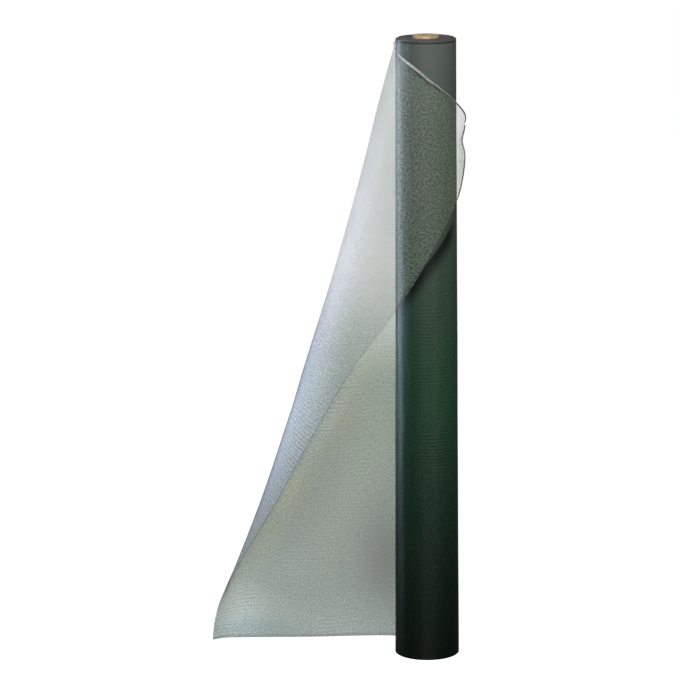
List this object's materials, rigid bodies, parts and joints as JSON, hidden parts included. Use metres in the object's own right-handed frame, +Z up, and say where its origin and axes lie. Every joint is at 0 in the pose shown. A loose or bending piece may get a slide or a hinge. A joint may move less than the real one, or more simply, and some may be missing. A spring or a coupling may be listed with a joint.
{
  "type": "fibreglass insect screen roll",
  "caption": "Tall roll of dark green woven insect screen on a cardboard core, standing on end, with its loose end folded back over the front.",
  "frame": {"origin": "middle of the foot: the centre, at the floor, of the box round the whole standing part; the roll's own axis stands at X 0.173, Y -0.018", "axes": "+Z up along the roll, +X to the right and +Y to the back, seen with the loose end spread to the left and its free corner laid over the front"},
  "size_m": [0.4968, 0.1608, 1.2045],
  "materials": {
    "core_board": "plain brown board, spiral wound",
    "wound_mesh": "dark green coated fibreglass mesh, many layers",
    "loose_mesh": "one sheer layer of the same mesh"
  },
  "bodies": {
    "root": {"core": "core_board", "winding": "wound_mesh", "loose_end": "loose_mesh"}
  },
  "joints": []
}
